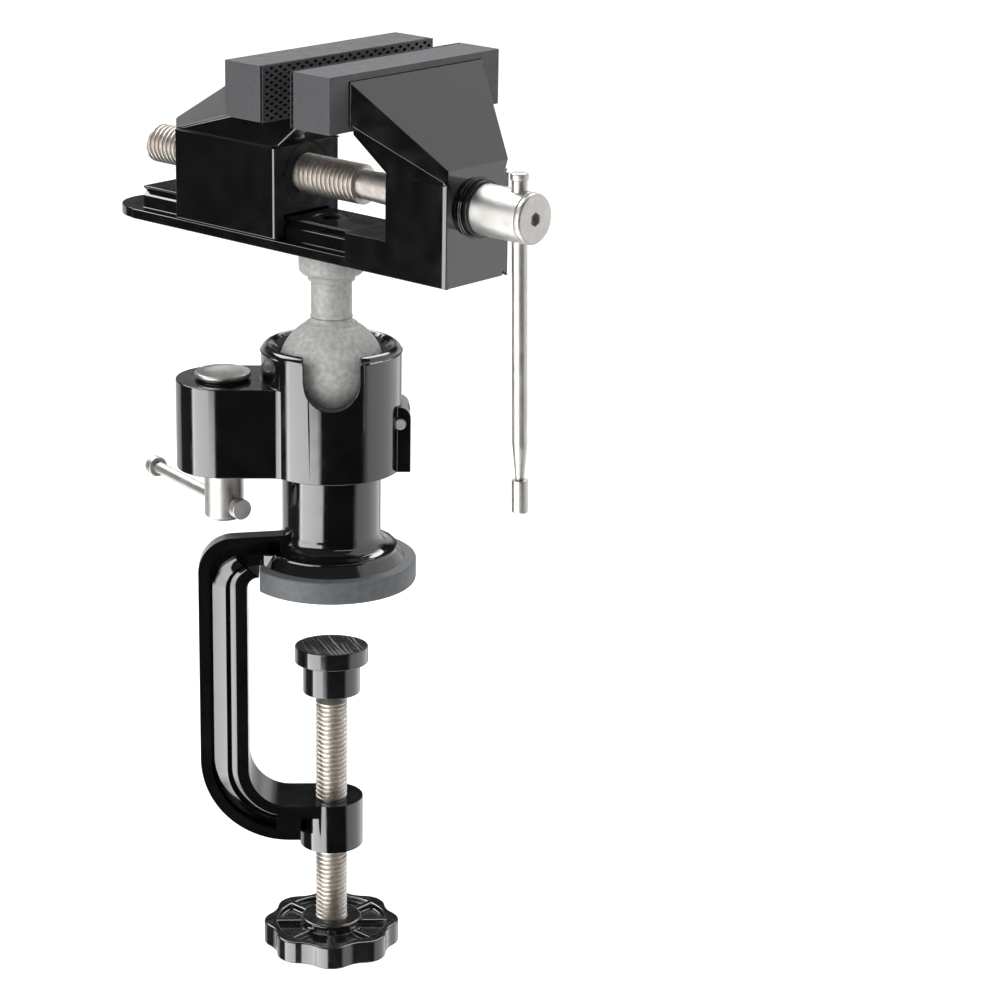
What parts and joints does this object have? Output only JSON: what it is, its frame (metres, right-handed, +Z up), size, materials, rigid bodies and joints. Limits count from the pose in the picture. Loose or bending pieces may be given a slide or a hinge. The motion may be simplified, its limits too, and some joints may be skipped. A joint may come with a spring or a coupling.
{
  "type": "mini bench vise",
  "caption": "Small table vise: sliding jaw on a V-rail, screw with sliding handle, ball joint locked by a lever clamp, and a C-frame with screw and swivel pad for a table edge.",
  "frame": {"origin": "centre of the table pad's underside, on the common axis of the post, the ball and the clamp screw", "axes": "+Z up along that axis; +X along the vise screw towards its handle; +Y along the jaws, away from the side that is shown; the base is turned 44 degrees about Z under the head"},
  "size_m": [0.1615, 0.0712, 0.2809],
  "materials": {
    "black_casting": "gloss black paint over a casting",
    "grey_casting": "bare sand-cast metal, light warm grey",
    "jaw_cover": "matt charcoal, knurled on the gripping face",
    "table_pad": "matt slate grey",
    "knob_plastic": "moulded black plastic, half gloss",
    "swivel_plastic": "moulded black plastic with a serrated disc",
    "dark_washer": "blackened steel",
    "screw_steel": "turned steel, slightly warm",
    "bright_steel": "bright nickel plate"
  },
  "bodies": {
    "base": {"clamp_frame": "black_casting", "table_pad": "table_pad", "socket_housing": "black_casting", "housing_screws": "screw_steel", "lever_pin": "bright_steel", "lock_bolt": "bright_steel", "bolt_washer": "dark_washer"},
    "stud": {"ball_stud": "grey_casting", "stud_bolt": "dark_washer"},
    "head": {"fixed_jaw": "black_casting", "fixed_jaw_cover": "jaw_cover"},
    "screw": {"lead_screw": "screw_steel", "screw_clip": "screw_steel", "thrust_washer": "dark_washer", "screw_barrel": "bright_steel", "end_cap": "bright_steel"},
    "jaw": {"moving_jaw": "black_casting", "moving_jaw_cover": "jaw_cover", "jaw_nut": "dark_washer"},
    "handle": {"handle_bar": "bright_steel", "handle_caps": "bright_steel"},
    "clamp_ring": {"pad_clip": "screw_steel"},
    "clamp": {"clamp_screw": "screw_steel", "hand_knob": "knob_plastic", "knob_nut": "screw_steel"},
    "swivel": {"swivel_pad": "swivel_plastic"},
    "lock_ring": {"lock_washer": "screw_steel"},
    "lock": {"lock_nut": "bright_steel"},
    "lock_handle": {"lock_bar": "bright_steel", "lock_bar_caps": "bright_steel"},
    "lever": {"clamp_lever": "screw_steel"},
    "seat": {"ball_seat": "grey_casting"}
  },
  "joints": [
    {"name": "ball_tilt", "type": "hinge", "parent": "base", "child": "stud", "pos_m": [0, 0, 0.0656], "axis": [0.7193, 0.6947, 0], "range_deg": [-40, 90]},
    {"name": "head_spin", "type": "hinge", "parent": "stud", "child": "head", "pos_m": [0, 0, 0.1013], "axis": [0, 0, 1], "continuous": true},
    {"name": "screw_turn", "type": "hinge", "parent": "head", "child": "screw", "pos_m": [0, 0, 0.1226], "axis": [1, 0, 0], "range_deg": [-1873, 7075]},
    {"name": "jaw_slide", "type": "slide", "parent": "head", "child": "jaw", "axis": [1, 0, 0], "range_m": [-0.0393, 0.0104]},
    {"name": "handle_slide", "type": "slide", "parent": "screw", "child": "handle", "axis": [0, -0.0314, 0.9995], "range_m": [-0.0027, 0.0687]},
    {"name": "clamp_travel", "type": "slide", "parent": "base", "child": "clamp_ring", "axis": [0, 0, 1], "range_m": [-0.0335, 0.0205]},
    {"name": "clamp_spin", "type": "hinge", "parent": "clamp_ring", "child": "clamp", "pos_m": [0, 0, -0.0295], "axis": [0, 0, 1], "range_deg": [-8041, 4921]},
    {"name": "pad_swivel", "type": "hinge", "parent": "clamp_ring", "child": "swivel", "pos_m": [0, 0, -0.0295], "axis": [0.7193, 0.6947, 0], "range_deg": [-2, 10]},
    {"name": "lock_travel", "type": "slide", "parent": "base", "child": "lock_ring", "axis": [0, 0, 1], "range_m": [-0.000295, 0]},
    {"name": "lock_turn", "type": "hinge", "parent": "lock_ring", "child": "lock", "pos_m": [-0.02302, -0.02223, 0.03], "axis": [0, 0, 1], "range_deg": [-85, 0]},
    {"name": "lock_bar_slide", "type": "slide", "parent": "lock", "child": "lock_handle", "axis": [-0.972, 0.2351, 0], "range_m": [-0.0337, 0.0014]},
    {"name": "lever_rock", "type": "hinge", "parent": "base", "child": "lever", "pos_m": [0.01453, 0.01403, 0.0505], "axis": [0.6947, -0.7193, 0], "range_deg": [0, 0.35]},
    {"name": "seat_slide", "type": "slide", "parent": "base", "child": "seat", "axis": [0, 0, 1], "range_m": [-0.00012, 0]}
  ],
  "couplings": [
    {"joint": "screw_turn", "follows": "jaw_slide", "rad_per_m": -3141.6},
    {"joint": "clamp_spin", "follows": "clamp_travel", "rad_per_m": 4188.8},
    {"joint": "lock_turn", "follows": "lock_travel", "rad_per_m": 5026.5},
    {"joint": "lever_rock", "follows": "lock_travel", "rad_per_m": -19.157},
    {"joint": "seat_slide", "follows": "lock_travel", "ratio": 0.38697}
  ]
}
